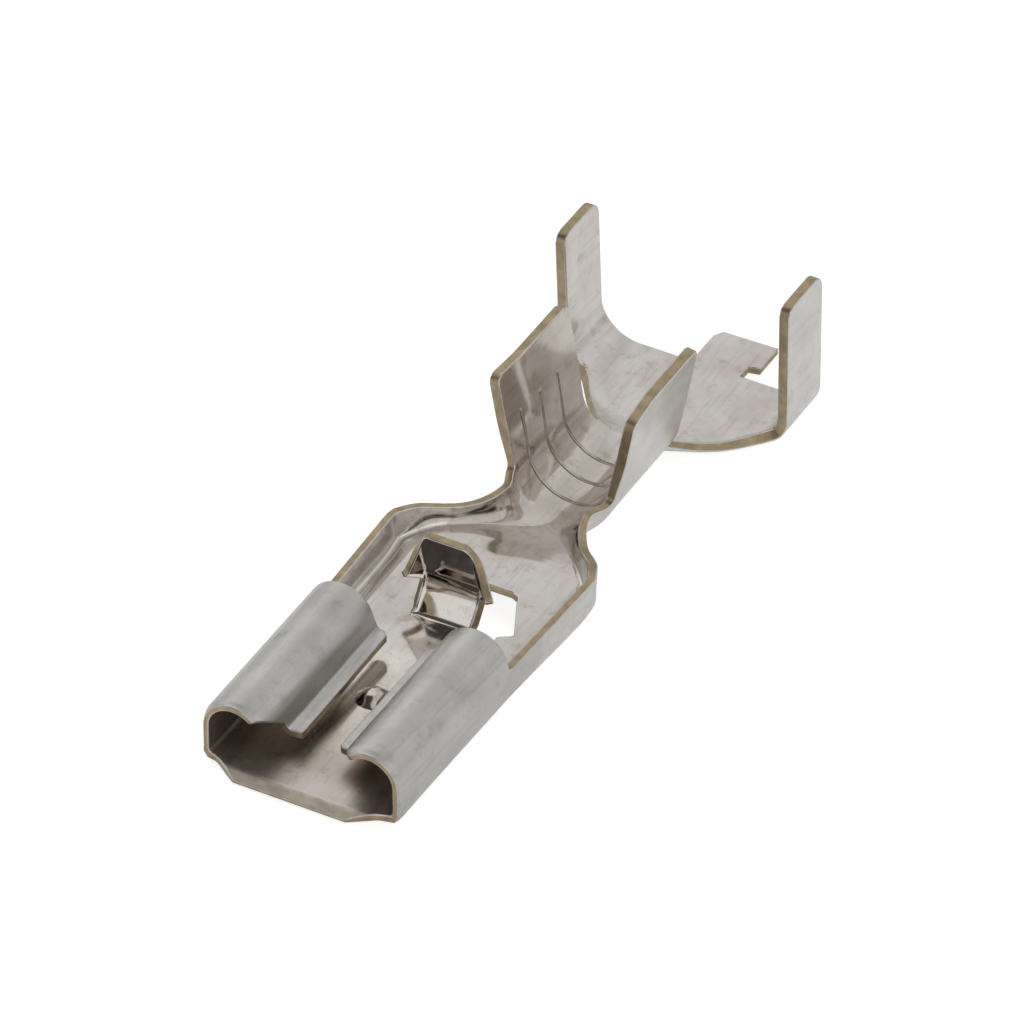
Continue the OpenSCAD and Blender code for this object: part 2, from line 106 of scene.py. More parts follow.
# ---- the mesh ----
STEP = 0.2              # greatest distance between points of an outline
POINT_GAP = 0.085       # least distance of an inner point from an outline
GROOVE_TICKS = np.array([-0.09, -0.065, -0.04, 0, 0.04, 0.065, 0.09])
EDGE_R = 0.055          # rounding of every cut edge
# the upper corner of a cut edge: inset and depth as shares of EDGE_R, and the normal's slope in degrees
EDGE_CORNER = [(0.62, 0.08, 67), (0.29, 0.29, 45), (0.08, 0.62, 22), (0.0, 1.0, 0)]
SHEAR_SHARE, SHEAR_STEP = 0.45, 0.004
MITER_MIN = 0.6
# width and reach of the painted shade along the bottom of each groove
SHADED_GROOVE_W, SHADED_GROOVE_REACH = GROOVE_W * 0.3, 4.35
EPS = 1e-4
ENDLESS = 1e9

# the fifth slot is a brighter, pinker copy of the tin for the tang: a painted highlight
INSIDE, SHEARED, BRASS, OUTSIDE, PAINTED_BRIGHT, SHADED_GROOVE = range(6)
EDGE_SLOTS = [INSIDE] * 3 + [SHEARED] + [BRASS] * 3 + [OUTSIDE] * 3

Section = namedtuple("Section", "flat dip radius turn bottom edge fold")


def share(y, a, b):
    return np.clip((y - a) / (b - a), 0, 1)


def smooth(t):
    t = np.clip(t, 0, 1)
    return t * t * (3 - 2 * t)


def ease(y, span):
    """0 at the span's start and 1 at its end, with a smooth change between."""
    return smooth(share(y, *span))


def mix(a, b, t):
    return a + (b - a) * t


# ---- the bent strip ----

def descent(y):
    return -SAG * ease(y, (ROLL_L, SHOULDER_Y)) - (WIRE_DROP - SAG) * ease(y, (DESCENT_Y, WIRE_Y))


def narrowing(y):
    """0 at the shoulders and 1 at the throat, with both corners of the slope rounded."""
    past = y - NARROW_Y
    left = 1 - (past + np.sqrt(past ** 2 + NARROW_SOFT)) / 2 / (THROAT_Y - NARROW_Y)
    return 1 - (left + np.sqrt(left ** 2 + THROAT_SOFT) - math.sqrt(1 + THROAT_SOFT) + 1) / 2


def insulation_radius(u):
    """Bend radius of the insulation barrel, wider on the left, as it is skewed."""
    return INS_R - SKEW * np.sign(u)


def flat_half_width(y, u, dip):
    narrow = narrowing(y)
    flat = mix(MOUTH_FLAT, SHOULDER_FLAT, share(y, ROLL_L, SHOULDER_Y))
    flat = flat + (CREASE_END - SHOULDER_FLAT) * narrow
    flat = flat + (CORNER_R + DIP_R) * (math.sin(DIP_TURN) - np.sin(dip)) * (1 - narrow)
    flat = flat - (CREASE_END - WIRE_FLAT) * ease(y, FLAT_CLOSES)
    spread = ((share(y, *NECK_SPREADS) + SPREAD_START) ** SPREAD_POWER - SPREAD_LOW) / SPREAD_RANGE
    rear_flat = INS_W / 2 - HALF - INS_INSET - insulation_radius(u)
    return np.where(y > WIRE_END, mix(WIRE_FLAT, rear_flat, spread), flat)


def section(y, u=0.0):
    """The strip's section at y: flat half width, dip, bend radius and turn, heights and crisp fold."""
    y, u = np.asarray(y, float), np.asarray(u, float)
    behind = y > WIRE_END
    wire = ease(y, (THROAT_Y, WIRE_Y))
    neck = share(y, WIRE_END, INS_Y)
    settled = smooth(3 * neck)

    dip = mix(DIP_MOUTH, DIP_BACK, ease(y, DIP_GROWS)) * (1 - ease(y, DIP_FADES))
    back_r = mix(CREASE_BACK_R, THROAT_BACK_R, ease(y, BACK_OPENS))
    radius = mix(mix(CORNER_R, back_r, ease(y, CORNER_OPENS)), WIRE_R, wire)
    radius = np.where(behind, mix(WIRE_R, insulation_radius(u), neck), radius)
    turn = np.where(behind, mix(WIRE_TURN, math.pi / 2, settled), mix(math.pi / 2, WIRE_TURN, wire))
    bottom = descent(y) - (INS_DROP - WIRE_DROP) * ease(y, NECK_DROPS)
    wall_edge = mix(WALL_H, THROAT_EDGE, ease(y, WALL_FALLS))
    edge = np.where(y < THROAT_Y, wall_edge, mix(THROAT_EDGE, WIRE_EDGE, wire))
    edge = np.where(behind, bottom + mix(NECK_H, FLARE_H, settled), edge)
    fold = mix(dip + turn, CREASE_TURN, ease(y, FOLD_STARTS)) * (1 - ease(y, FOLD_FADES))
    fold = np.where(y > FOLD_STARTS[0], fold, 0)
    return Section(flat_half_width(y, u, dip), dip, radius, turn, bottom, edge, fold)


def walk(u, pieces):
    """Place and heading at distance u along a path of (length, radius or 0, side) pieces."""
    x, z, a = np.zeros_like(u), np.zeros_like(u), np.zeros_like(u)
    left = u.copy()
    for length, r, side in pieces:
        s = np.minimum(left, length)
        left = left - s
        if side == 0:
            x, z = x + s * np.cos(a), z + s * np.sin(a)
        else:
            b = a + side * s / r
            x = x + side * r * (np.sin(b) - np.sin(a))
            z = z - side * r * (np.cos(b) - np.cos(a))
            a = b
    return x, z, a


def roll_pieces(dip):
    """The roll above the side wall: straight, over the top, down, back out and the lip."""
    wall_z = HALF - (CORNER_R + DIP_R) * (1 - np.cos(dip)) + CORNER_R
    straight = ROLL_H - ROLL_R - wall_z
    mid = ROLL_R - HALF
    end_z = ROLL_H - ROLL_R + mid * math.sin(ROLL_TURN)
    back = ROLL_TURN - math.pi / 2
    lip_z = SHEET + BLADE_GAP + HALF
    fall = (end_z - LIP_BEND_R * (1 - math.cos(back)) - lip_z) / math.sin(math.pi / 2 + ROLL_TURN - math.pi)
    return [(straight, 0, 0), (mid * ROLL_TURN, mid, 1), (abs(fall), 0, 0),
            (LIP_BEND_R * back, LIP_BEND_R, -1), (ENDLESS, 0, 0)]


def wall_pieces(y, u):
    """From the centre line out: flat, dip, crisp fold and the rest of the bend."""
    at = section(y, u)
    crease = mix(CORNER_R, CREASE_R, ease(y, CREASE_OPENS))
    return [(at.flat, 0, 0), (DIP_R * at.dip, DIP_R, -1), (crease * at.fold, crease, 1),
            (at.radius * (at.dip + at.turn - at.fold), at.radius, 1)]


def bent(u, y, beyond):
    """Places on the bent strip, with the pieces beyond the wall's bend."""
    x, z, _ = walk(np.abs(u), wall_pieces(y, u) + beyond)
    z = z + section(y).bottom + HALF
    lean = LEAN * ease(y, (WIRE_END, INS_Y)) * (LEAN_PIVOT_Z - z) * (1 - 0.9 * smooth(u / 4.2))
    bell = BELL * ease(y, (WIRE_Y + BELL_L, WIRE_Y)) * ease(z, (0.4, 2.4)) * (y > WIRE_Y - 0.3)
    return np.stack([np.where(u < 0, -1.0, 1.0) * (x + bell) + lean, y, z], -1)


def middle(u, y):
    """Middle of the sheet at developed distance u from the centre line and distance y from the mouth."""
    u, y = np.asarray(u, float), np.asarray(y, float)
    rolled = y <= ROLL_L + 1e-6
    out = np.zeros(u.shape + (3,))
    for mask, beyond in ((rolled, roll_pieces(section(y[rolled]).dip)), (~rolled, [(ENDLESS, 0, 0)])):
        if mask.any():
            out[mask] = bent(u[mask], y[mask], beyond)
    from_detent = np.hypot(u, y - DETENT_Y) / (DETENT_R * 0.88)
    out[..., 2] += DETENT_H * smooth(1.25 - from_detent)
    return out


def tang_middle(s, t):
    """Middle of the tang at s across and t up along it from its root."""
    py, pz, a = walk(t, [(TANG_ROOT_R * TANG_RAMP, TANG_ROOT_R, 1), (TANG_RAMP_L, 0, 0),
                         (TANG_KNEE_R * (TANG_HEAD - TANG_RAMP), TANG_KNEE_R, 1), (ENDLESS, 0, 0)])
    py, pz = py + WINDOW_Y, pz + HALF
    x, n, _ = walk(np.abs(s), [(TANG_NECK_W / 2 - EAR_INSET, 0, 0),
                               (EAR_BEND_R * EAR_TURN * ease(pz, EAR_TURNS), EAR_BEND_R, 1), (ENDLESS, 0, 0)])
    x = np.where(s < 0, -1.0, 1.0) * x + TANG_X * ease(t, (0, 0.6))
    return np.stack([x, py - n * np.sin(a), pz + n * np.cos(a) + descent(WINDOW_Y)], -1)


def thickness(u, y):
    """Distance of the upper and the lower face from the middle of the sheet."""
    u, y = np.asarray(u, float), np.asarray(y, float)
    out = np.abs(u)
    bevel = np.where(y < BEVEL_L - CHIN_L, BEVEL_D * (1 - (y + CHIN_L) / BEVEL_L), 0)
    up = HALF - bevel * (out < BEVEL_HALF_W)
    for g in GROOVES:
        wide = smooth((GROOVE_W / 2 + 0.02 - np.abs(y - g)) / GROOVE_SOFT)
        up = up - GROOVE_D * wide * smooth((GROOVE_REACH - out) / GROOVE_FADE)
    wing = WING_EXTRA * smooth((out - 2.2) / 2) * smooth((y - WIRE_Y + 0.4) / 0.4)
    wing = wing * (1 - 0.9 * smooth((y - INS_END) / 0.2))
    coin = COIN_D * smooth((COIN_L - y) / COIN_L) * (y >= -0.02)
    return up + wing, HALF + wing - coin * smooth((out - 3.4) / 0.4)


# ---- normals ----

def tangents(func, u, v):
    """Slopes across and along; along is taken on one side, so an edge at a step keeps its own."""
    du = (func(u + EPS, v) - func(u - EPS, v)) / (2 * EPS)
    step = np.where(v > INS_Y - 0.01, EPS, -EPS)
    dv = (func(u, v + step) - func(u, v)) / step[..., None]
    return du, dv


def unit(v):
    return v / np.linalg.norm(v, axis=-1, keepdims=True)


def sheet_normals(func, u, v):
    return unit(np.cross(*tangents(func, u, v)))


def face_normals(u, y, side):
    """Normals of the upper (0) or lower (1) face: the sheet's own, leaned by the change of thickness."""
    du, dv = tangents(middle, u, y)
    hu = (thickness(u + EPS, y)[side] - thickness(u - EPS, y)[side]) / (2 * EPS)
    hv = (thickness(u, y + EPS)[side] - thickness(u, y - EPS)[side]) / (2 * EPS)
    n = unit(np.cross(du, dv)) * (1 - 2 * side)
    lean = (hu / (du ** 2).sum(-1))[..., None] * du + (hv / (dv ** 2).sum(-1))[..., None] * dv
    return unit(n - lean)


# ---- outlines of the flat blank ----

def reach(y, z, side=1):
    """Developed half width at which the middle of the sheet comes up to height z."""
    u = np.linspace(0, 12, 4801)
    h = middle(side * u, np.full_like(u, y))[:, 2]
    start = int(np.argmax(u > float(section(y, side).flat) + 0.01))
    return float(u[start + np.nonzero(h[start:] >= z)[0][0]])


def edge_reach(y, side=1):
    return reach(y, float(section(y).edge), side)


def roll_reach(passed):
    """Developed half width, beyond the top of the roll, where the sheet's middle first passes the test."""
    u = np.linspace(6, 12, 2401)
    p = middle(u, np.ones_like(u))
    return float(u[np.nonzero(passed(p))[0][0]])


def lip_end(gap):
    return roll_reach(lambda p: p[:, 0] <= gap / 2)


def falling(z):
    return roll_reach(lambda p: p[:, 2] <= z)


def receptacle_side():
    """The chin, the lip's slanted front and free edge, and the foot of the wall behind the roll."""
    front, rear = lip_end(LIP_GAP_FRONT), lip_end(LIP_GAP_REAR)
    wall = reach(ROLL_L + 0.2, WALL_H)
    return [(CHIN_W / 2, -CHIN_L), (CHIN_ROOT_W / 2 + 0.05, 0.0),
            (falling(LIP_CUT_Z), 0.0), (falling(SHEET * 2 + BLADE_GAP + 0.2), LIP_SETBACK - 0.1),
            (front - LIP_NICK, LIP_SETBACK), (front, LIP_SETBACK + LIP_NICK),
            (rear, ROLL_L - LIP_CORNER), (rear - LIP_CORNER, ROLL_L),
            (wall + 0.35, ROLL_L), (wall + 0.1, ROLL_L + 0.06), (wall, ROLL_L + 0.3)]


def free_edge(start, stop, step, side=1):
    """The edge of a stretch between two barrels, which follows the section's edge height."""
    return [(edge_reach(y, side), float(y)) for y in np.arange(start, stop, step)]


def wire_side():
    """A wire wing with cut corners and small fillets at its foot."""
    base, low = reach(WIRE_Y, WIRE_EDGE), edge_reach(WIRE_END + 0.1)
    top, c = reach(WIRE_Y + 1, WIRE_TOP), WIRE_CHAMFER
    return [(base + 0.02, WIRE_Y - 0.22), (base + 0.1, WIRE_Y - 0.06), (base + 0.25, WIRE_Y),
            (top - c, WIRE_Y), (top - c * 0.35, WIRE_Y + c * 0.3), (top, WIRE_Y + c),
            (top, WIRE_END - c), (top - c * 0.3, WIRE_END - c * 0.3), (top - c, WIRE_END),
            (low + 0.25, WIRE_END), (low + 0.06, WIRE_END + 0.06)]


def insulation_side(side):
    """An insulation wing with a cut front corner and a round rear one."""
    root = edge_reach(INS_Y - 0.05, side)
    top, r = reach(INS_Y + 1, INS_TOP, side), TIP_R
    turns = [math.pi / 2 * i / 5 for i in range(6)]
    return [(root + 0.1, INS_Y - 0.03), (root + 0.3, INS_Y),
            (top - r * 0.7, INS_Y), (top - r * 0.2, INS_Y + r * 0.25), (top, INS_Y + r * 0.75),
            *[(top - r + r * math.cos(a), INS_END - r + r * math.sin(a)) for a in turns]]


def half_outline(side):
    """The blank's outline on one side, from the middle of the chin back to the tab."""
    return (receptacle_side() + free_edge(ROLL_L + 0.9, WIRE_Y - 0.3, 0.3) + wire_side()
            + free_edge(WIRE_END + 0.25, INS_Y - 0.1, 0.25, side) + insulation_side(side))


def blank_outline():
    left = [(-u, y) for u, y in half_outline(-1)]
    a, b, n = TAB_X - TAB_W / 2, TAB_X + TAB_W / 2, TAB_NOTCH
    tab = [(b - n, INS_END), (b - n, INS_END + n * 1.4), (b, INS_END + n * 1.6), (b, TAB_END),
           (a + n / 2, TAB_END - 0.05), (a, TAB_END - n), (a, INS_END)]
    return half_outline(1) + tab + left[::-1]


def window_outline():
    """The window, from the left of the tang's root round by the rear to the right of it."""
    far, c, neck = WINDOW_Y + WINDOW_L, WINDOW_CORNER, TANG_NECK_W / 2
    front = WINDOW_Y - WINDOW_FRONT_L
    return [(-neck, WINDOW_Y), (-neck + 0.04, WINDOW_Y + 0.3), (-1.2, WINDOW_Y + 1.0),
            (-1.42, WINDOW_Y + 1.5), (-WINDOW_LEFT, far - c), (-WINDOW_LEFT + c, far),
            (WINDOW_REAR - c, far), (WINDOW_REAR - c * 0.3, far - c * 0.3), (WINDOW_REAR, far - c),
            (WINDOW_WIDE, WINDOW_Y + 0.76), (WINDOW_WIDE - 0.05, WINDOW_Y + 0.66),
            (WINDOW_FRONT, WINDOW_Y + 0.4), (WINDOW_FRONT, front), (neck + 0.05, front),
            (neck, WINDOW_Y)]


def tang_half_width(z):
    """Half the tang's width at height z: the neck, out to the ears, then in to the top."""
    to_ears = mix(TANG_NECK_W, TANG_EAR_W, ease(z, (TANG_EAR_Z, TANG_WIDE_Z)))
    to_top = mix(TANG_EAR_W, TANG_TOP_W, share(z, TANG_WIDE_Z, TANG_H))
    return np.where(z < TANG_EAR_Z, TANG_NECK_W, np.where(z < TANG_WIDE_Z, to_ears, to_top)) / 2


def tang_outline():
    """The tang's outline over its developed length; its neck is wider on the left."""
    t = np.linspace(0, 5, 2001)
    z = tang_middle(np.zeros_like(t), t)[:, 2]
    length = float(t[np.argmax(z >= TANG_H)])
    stations = [0.0, *np.arange(0.3, length - 0.1, 0.12).tolist(), length - 0.08]
    right = [(float(tang_half_width(np.interp(v, t, z))), v) for v in stations]
    right.append((TANG_TOP_W / 2 - 0.1, length))
    return right + [(-max(u, TANG_LEFT_NECK) if 0.2 < v < 2 else -u, v) for u, v in right[::-1]]


# ---- from outline to triangles ----

def refine(loop):
    """The loop with points at most STEP apart."""
    out = []
    for (x0, y0), (x1, y1) in zip(loop, loop[1:] + loop[:1]):
        n = max(1, int(math.ceil(math.hypot(x1 - x0, y1 - y0) / STEP)))
        out += [(mix(x0, x1, i / n), mix(y0, y1, i / n)) for i in range(n)]
    return out


def inside(loop, x, y):
    poly = np.array(loop)
    hit = np.zeros(x.shape, bool)
    for (x0, y0), (x1, y1) in zip(poly, np.roll(poly, -1, 0)):
        if y0 != y1:
            hit ^= ((y0 > y) != (y1 > y)) & (x < (x1 - x0) * (y - y0) / (y1 - y0) + x0)
    return hit


def away(loop, x, y):
    """Where (x, y) keeps its distance from the loop."""
    poly = np.array(loop)
    best = np.full(x.shape, ENDLESS)
    for p, q in zip(poly, np.roll(poly, -1, 0)):
        d = q - p
        t = np.clip(((x - p[0]) * d[0] + (y - p[1]) * d[1]) / max(d @ d, 1e-12), 0, 1)
        best = np.minimum(best, np.hypot(x - p[0] - t * d[0], y - p[1] - t * d[1]))
    return best > POINT_GAP


def triangulate(loops, grids):
    """Triangles over the area inside the first loop and outside the others."""
    loops = [refine(loop) for loop in loops]
    cells = [np.meshgrid(us, vs) for us, vs in grids]
    gx, gy = [np.concatenate([c[i].ravel() for c in cells]) for i in (0, 1)]
    keep = inside(loops[0], gx, gy)
    for hole in loops[1:]:
        keep &= ~inside(hole, gx, gy)
    for loop in loops:
        keep &= away(loop, gx, gy)
    pts, edges = [], []
    for loop in loops:
        start = len(pts)
        pts += loop
        edges += [(start + i, start + (i + 1) % len(loop)) for i in range(len(loop))]
    pts += list(zip(gx[keep], gy[keep]))
    verts, _, faces, *_ = delaunay_2d_cdt([Vector(p) for p in pts], edges, [], 0, 1e-7)
    uv = np.array([tuple(v) for v in verts])
    tris = np.array(faces)
    a, b, c = uv[tris[:, 0]], uv[tris[:, 1]], uv[tris[:, 2]]
    area = (b - a)[:, 0] * (c - a)[:, 1] - (b - a)[:, 1] * (c - a)[:, 0]
    tris[area < 0] = tris[area < 0][:, ::-1]
    mid = uv[tris].mean(1)
    # slivers along a straight edge would break the rim
    good = inside(loops[0], mid[:, 0], mid[:, 1]) & (np.abs(area) > 1e-4)
    for hole in loops[1:]:
        good &= ~inside(hole, mid[:, 0], mid[:, 1])
    return uv, tris[good]


def ticks(*spans):
    """Even steps over spans of (start, end, step) that follow each other."""
    out = []
    for a, b, step in spans:
        n = max(1, int(round((b - a) / step)))
        out += [a + (b - a) * i / n for i in range(n)]
    return np.array(out + [spans[-1][1]])


def mirrored(us):
    return np.concatenate([-us[:0:-1], us])


def sheet_parts():
    """The flat blank and the tang as points and triangles, finer where the sheet bends."""
    across = mirrored(ticks((0.0, 0.72, 0.08), (0.72, 2.4, 0.2), (2.4, 3.9, 0.09), (3.9, 4.8, 0.15),
                            (4.8, 8.6, 0.1), (8.6, 10.0, 0.14)))
    fine = mirrored(ticks((0.0, 3.9, 0.05), (3.9, 5.2, 0.1)))
    front = ticks((-CHIN_L, BEVEL_L - CHIN_L, 0.1), (BEVEL_L - CHIN_L, 0.4, 0.1), (0.4, 4.2, 0.2),
                  (4.2, 5.48, 0.08), (5.48, SHOULDER_Y - 0.4, 0.2))
    throat = ticks((SHOULDER_Y - 0.3, WIRE_Y, 0.09))
    rear, y = [], WIRE_Y + 0.12
    for g in GROOVES:
        rear += [ticks((y, g - 0.14, 0.2)), g + GROOVE_TICKS]
        y = g + 0.14
    rear.append(ticks((y, TAB_END, 0.16)))
    grids = [(across, front), (fine, throat), (across, np.concatenate(rear))]
    tang_grid = (ticks((-2.0, 2.0, 0.07)), ticks((0.0, 5.0, 0.07)))
    return triangulate([blank_outline(), window_outline()], grids), triangulate([tang_outline()], [tang_grid])


# ---- from triangles to a closed mesh ----

def shared_faces(mid, faces):
    """Faces with one index for points that share a place: the root of the tang."""
    first = {}
    remap = np.array([first.setdefault(tuple(p), i) for i, p in enumerate(np.round(mid, 4))])
    return remap[faces]


def rim_edges(faces):
    """The edges that only one face has."""
    edges = dict.fromkeys((int(f[i]), int(f[(i + 1) % 3])) for f in faces for i in range(3))
    return [(p, q) for p, q in edges if (q, p) not in edges]


def rim_frames(rim, mid, n_mid):
    """For each point of the rim, the way out of the sheet and how far a corner stretches an inset."""
    following = dict(rim)
    previous = {q: p for p, q in rim}
    frames = {}
    for p, q in following.items():
        out1, out2 = (unit(np.cross(e, n_mid[p])) for e in (mid[p] - mid[previous[p]], mid[q] - mid[p]))
        out = out1 + out2
        out = out / max(np.linalg.norm(out), 1e-6)
        frames[p] = out, 1 / max(float(out @ out1), MITER_MIN)
    return frames


def edge_ring(out, miter, n, up, down):
    """Places from the sheet's middle, with normals, round a cut edge from the upper face to the lower."""
    ring = []
    for inset, depth, slope in EDGE_CORNER:
        s = math.radians(slope)
        ring.append((n * (up - depth * EDGE_R) - out * inset * EDGE_R * miter,
                     out * math.cos(s) + n * math.sin(s)))
    ring.append((n * mix(up, -down, SHEAR_SHARE) - out * SHEAR_STEP, out))
    for inset, depth, slope in EDGE_CORNER[::-1]:
        s = math.radians(slope)
        ring.append((-n * (down - depth * EDGE_R) - out * inset * EDGE_R * miter,
                     out * math.cos(s) - n * math.sin(s)))
    return ring


def upper_slots(at):
    """Material slot of the upper face at each place: painted shade at the bottom of a groove, the chin's
    bevel or tin.
    """
    shaded_groove = np.min([np.abs(at[:, 1] - g) for g in GROOVES], 0) < SHADED_GROOVE_W
    shaded_groove &= np.abs(at[:, 0]) < SHADED_GROOVE_REACH
    return np.select([shaded_groove, at[:, 1] < BEVEL_L - CHIN_L], [SHADED_GROOVE, SHEARED], INSIDE).tolist()


def strip_mesh():
    """Points, normals, faces and material slots of the whole strip."""
    (uv, tris), (tang_uv, tang_tris) = sheet_parts()
    (u, y), (s, t) = uv.T, tang_uv.T
    mid = np.concatenate([middle(u, y), tang_middle(s, t)])
    faces = shared_faces(mid, np.concatenate([tris, tang_tris + len(uv)]))
    up, down = (np.concatenate([h, np.full(len(s), HALF)]) for h in thickness(u, y))
    tang_n = sheet_normals(tang_middle, s, t)
    n_mid = np.concatenate([sheet_normals(middle, u, y), tang_n])
    n_top = np.concatenate([face_normals(u, y, 0), tang_n])
    n_low = np.concatenate([face_normals(u, y, 1), -tang_n])
    rim = rim_edges(faces)
    frames = rim_frames(rim, mid, n_mid)
    verts, normals = [], []

    def add(i, offset, normal):
        verts.append(mid[i] + offset)
        normals.append(normal)
        return len(verts) - 1

    top, low, ring = {}, {}, {}
    for i in np.unique(faces).tolist():
        out, miter = frames.get(i, (np.zeros(3), 1.0))
        inset = out * EDGE_R * miter
        top[i] = add(i, n_mid[i] * up[i] - inset, n_top[i])
        low[i] = add(i, -n_mid[i] * down[i] - inset, n_low[i])
    for i, (out, miter) in frames.items():
        ring[i] = [add(i, *point) for point in edge_ring(out, miter, n_mid[i], up[i], down[i])]

    polys, slots = [], []
    # the tang, on both faces, takes the brighter tin: a painted highlight
    for f, slot in zip(faces.tolist(), upper_slots(uv[tris].mean(1)) + [PAINTED_BRIGHT] * len(tang_tris)):
        polys += [[top[i] for i in f], [low[i] for i in f[::-1]]]
        slots += [slot, PAINTED_BRIGHT if slot == PAINTED_BRIGHT else OUTSIDE]
    for p, q in rim:
        line_p, line_q = ([top[i], *ring[i], low[i]] for i in (p, q))
        polys += [[line_p[j], line_p[j + 1], line_q[j + 1], line_q[j]] for j in range(len(EDGE_SLOTS))]
        slots += EDGE_SLOTS
    return np.array(verts), unit(np.array(normals)), polys, slots


def rest_transform():
    """Tips the strip until the wire barrel comes down beside the mouth, and centres its footprint."""
    ys = np.linspace(SHOULDER_Y, WIRE_Y, 41)
    tilt = float(np.max(np.arctan((-descent(ys) - DIP_DEPTH) / ys)))
    front = -CHIN_L * math.cos(tilt) - (SHEET - BEVEL_D) * math.sin(tilt)
    rear = TAB_END * math.cos(tilt) + INS_DROP * math.sin(tilt)
    lift = DIP_DEPTH * math.cos(tilt)
    return Matrix.Translation((0, -(front + rear) / 2, lift)) @ Matrix.Rotation(tilt, 4, "X")


# ---- materials ----

MIX_A, MIX_B, MIX_COLOR = 6, 7, 2       # colour sockets of a Mix node
MOUTH_END, TAB_TIP = -0.0153, 0.0153    # the strip's ends at rest, in metres
SMUDGE = (0.36, 0.30, 0.23, 1)
DRAWN_SCALE = (6000.0, 260.0, 6000.0)

# painted light and shade by place along the strip; the warm cast in the mouth is partly painted
# interreflection, partly tarnish. From the mouth (0) to the tab (1): place, brightness, warmth
INSIDE_PAINTED_LIGHT = [(0.0, 1.0, 0.97), (0.03, 0.98, 0.96), (0.05, 0.84, 0.93), (0.12, 0.86, 0.94),
                (0.27, 0.98, 0.99), (0.45, 0.98, 0.99), (0.56, 0.92, 0.96), (0.70, 0.94, 0.965),
                (0.80, 1.0, 0.99)]
OUTSIDE_PAINTED_LIGHT = [(0.0, 0.80, 0.99), (0.27, 0.80, 0.99), (0.36, 0.93, 0.99), (0.55, 1.0, 1.0)]
# from the mouth (0) to the tab (1): place, added roughness
INSIDE_WEAR = [(0.0, 0.3), (0.07, 0.28), (0.14, 0.07), (0.24, 0.02), (0.7, 0.02), (0.85, 0.1)]
OUTSIDE_WEAR = [(0.0, 0.0), (1.0, 0.0)]


def add_node(tree, kind, **values):
    """A new node with its sockets or settings given by name."""
    node = tree.nodes.new(kind)
    for k, v in values.items():
        if k in node.inputs.keys():
            node.inputs[k].default_value = v
        else:
            setattr(node, k, v)
    return node


def feed(tree, socket, value):
    """Links the socket to another node's output, or sets it."""
    if isinstance(value, bpy.types.NodeSocket):
        tree.links.new(value, socket)
    else:
        socket.default_value = value


def combine(tree, factor, a, b, mode="MIX"):
    """The colour of a with b over it."""
    node = add_node(tree, "ShaderNodeMix", data_type="RGBA", blend_type=mode)
    feed(tree, node.inputs["Factor"], factor)
    feed(tree, node.inputs[MIX_A], a)
    feed(tree, node.inputs[MIX_B], b)
    return node.outputs[MIX_COLOR]


def ramp(tree, source, stops):
    """The colour, or the grey for a single number, at the source's value."""
    node = tree.nodes.new("ShaderNodeValToRGB")
    els = node.color_ramp.elements
    while len(els) < len(stops):
        els.new(0.5)
    for e, (pos, col) in zip(els, stops):
        e.position = pos
        e.color = (*(col if isinstance(col, tuple) else (col,) * 3), 1)
    tree.links.new(source, node.inputs["Fac"])
    return node.outputs["Color"]


def noise(tree, coord, scale, detail, roughness=0.5):
    node = add_node(tree, "ShaderNodeTexNoise", Scale=scale, Detail=detail, Roughness=roughness)
    tree.links.new(coord, node.inputs["Vector"])
    return node.outputs["Fac"]


def new_metal(name):
    """A metal, its node tree, its shader and the object's own coordinates."""
    material = bpy.data.materials.new(name)
    material.use_nodes = True
    tree = material.node_tree
    shader = tree.nodes["Principled BSDF"]
    shader.inputs["Metallic"].default_value = 1.0
    return material, tree, shader, add_node(tree, "ShaderNodeTexCoord").outputs["Object"]


def place_along(tree, coord):
    """0 at the mouth and 1 at the tab."""
    split = add_node(tree, "ShaderNodeSeparateXYZ")
    tree.links.new(coord, split.inputs[0])
    place = add_node(tree, "ShaderNodeMapRange")
    place.inputs["From Min"].default_value = MOUTH_END
    place.inputs["From Max"].default_value = TAB_TIP
    tree.links.new(split.outputs["Y"], place.inputs["Value"])
    return place.outputs[0]


